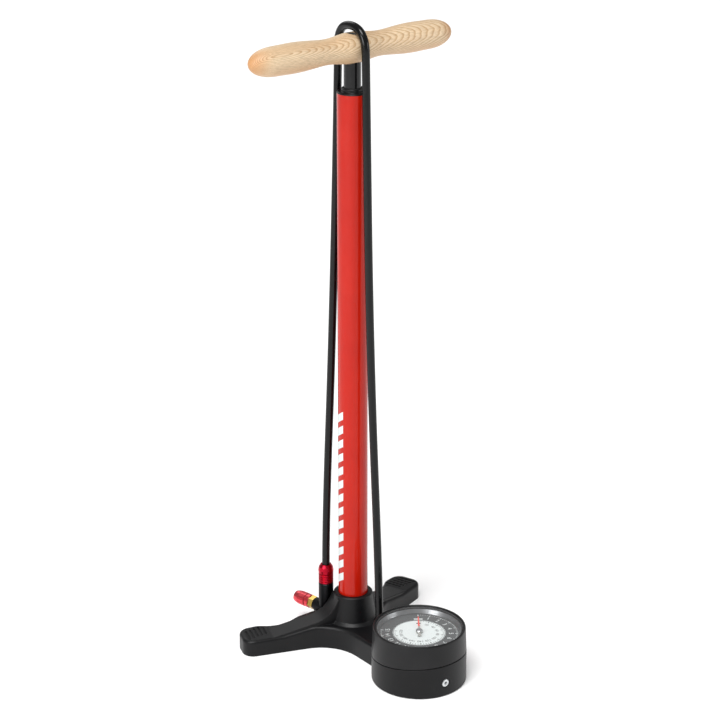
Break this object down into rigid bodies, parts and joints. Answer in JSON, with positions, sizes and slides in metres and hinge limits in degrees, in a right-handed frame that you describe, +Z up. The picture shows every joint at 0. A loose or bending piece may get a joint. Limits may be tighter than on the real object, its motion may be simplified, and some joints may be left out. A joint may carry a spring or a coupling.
{
  "type": "bicycle floor pump",
  "caption": "Floor-standing hand pump: upright barrel on a wide footed base with a dial gauge, a wooden cross handle on a sliding rod, and a hose looped over it to a valve chuck.",
  "frame": {"origin": "on the ground under the barrel's axis, on the base's flat underside", "axes": "+Z up along the barrel, the gauge towards -Y, the handle and the two feet spread along X"},
  "size_m": [0.241, 0.2287, 0.6577],
  "materials": {
    "base_plastic": "satin black glass-filled moulding",
    "foot_rubber": "matt",
    "plated_steel": "zinc plated",
    "bright_screw": "bright",
    "barrel_paint": "glossy red over steel",
    "seal_rubber": "matt",
    "cap_plastic": "satin black",
    "bush_plastic": "natural",
    "rod_paint": "glossy black over steel",
    "alloy_inner": "turned",
    "piston_plastic": "moulded",
    "ash_wood": "clear lacquer",
    "brass_parts": "turned",
    "bezel_plastic": "satin black",
    "clear_lens": "clear",
    "bright_ring": "satin",
    "dial_print": "printed grey and white",
    "pointer_paint": "red",
    "hose_rubber": "glossy black",
    "fitting_black": "black",
    "red_anodised": "red anodised",
    "chuck_black": "satin black"
  },
  "bodies": {
    "frame": {"base": "base_plastic", "foot_pads": "foot_rubber", "case_screws": "plated_steel", "rim_screw": "bright_screw", "barrel": "barrel_paint", "barrel_seal": "seal_rubber", "barrel_cap": "cap_plastic", "rod_bush": "bush_plastic", "rod_wiper": "seal_rubber", "valve_seat": "brass_parts", "gauge_bezel": "bezel_plastic", "gauge_gasket": "seal_rubber", "gauge_glass": "clear_lens", "dial_ring": "bright_ring", "dial_plate": "dial_print", "gauge_stem": "brass_parts", "bourdon_tube": "brass_parts", "tube_blocks": "brass_parts", "movement_plates": "brass_parts", "movement_pillars": "brass_parts", "hose": "hose_rubber", "hose_fitting": "fitting_black", "chuck_nut": "red_anodised", "chuck_body": "chuck_black", "chuck_hex": "brass_parts", "chuck_seal": "seal_rubber"},
    "plunger": {"piston_rod": "rod_paint", "rod_plugs": "alloy_inner", "piston": "piston_plastic", "piston_seal": "seal_rubber", "piston_nut": "plated_steel", "piston_bolt": "plated_steel", "rod_bumper": "seal_rubber", "handle": "ash_wood", "handle_screw": "plated_steel"},
    "sector": {"sector_gear": "brass_parts", "sector_arbor": "plated_steel"},
    "pointer": {"pinion": "brass_parts", "pointer_arbor": "plated_steel", "pointer": "pointer_paint"},
    "outlet_ball": {"valve_ball": "seal_rubber"},
    "valve_cap": {"chuck_cap": "red_anodised"}
  },
  "joints": [
    {"name": "plunger_slide", "type": "slide", "parent": "frame", "child": "plunger", "axis": [0, 0, 1], "range_m": [0, 0.5213], "deforming": ["hose"]},
    {"name": "sector_turn", "type": "hinge", "parent": "frame", "child": "sector", "pos_m": [-0.0252, -0.1103, 0.041], "axis": [0, 0, 1], "range_deg": [0, 46.66], "stiffness_Nm_per_rad": 0.01},
    {"name": "pointer_turn", "type": "hinge", "parent": "frame", "child": "pointer", "pos_m": [0, -0.1103, 0.052], "axis": [0, 0, -1], "range_deg": [0, 280]},
    {"name": "outlet_ball_slide", "type": "slide", "parent": "frame", "child": "outlet_ball", "axis": [0, 0, 1], "range_m": [0, 0.0024]},
    {"name": "valve_cap_turn", "type": "hinge", "parent": "frame", "child": "valve_cap", "pos_m": [-0.0211, 0.05999, 0.027], "axis": [-0.1908, 0.9816, 0], "continuous": true}
  ],
  "couplings": [
    {"joint": "pointer_turn", "follows": "sector_turn", "ratio": 6}
  ]
}
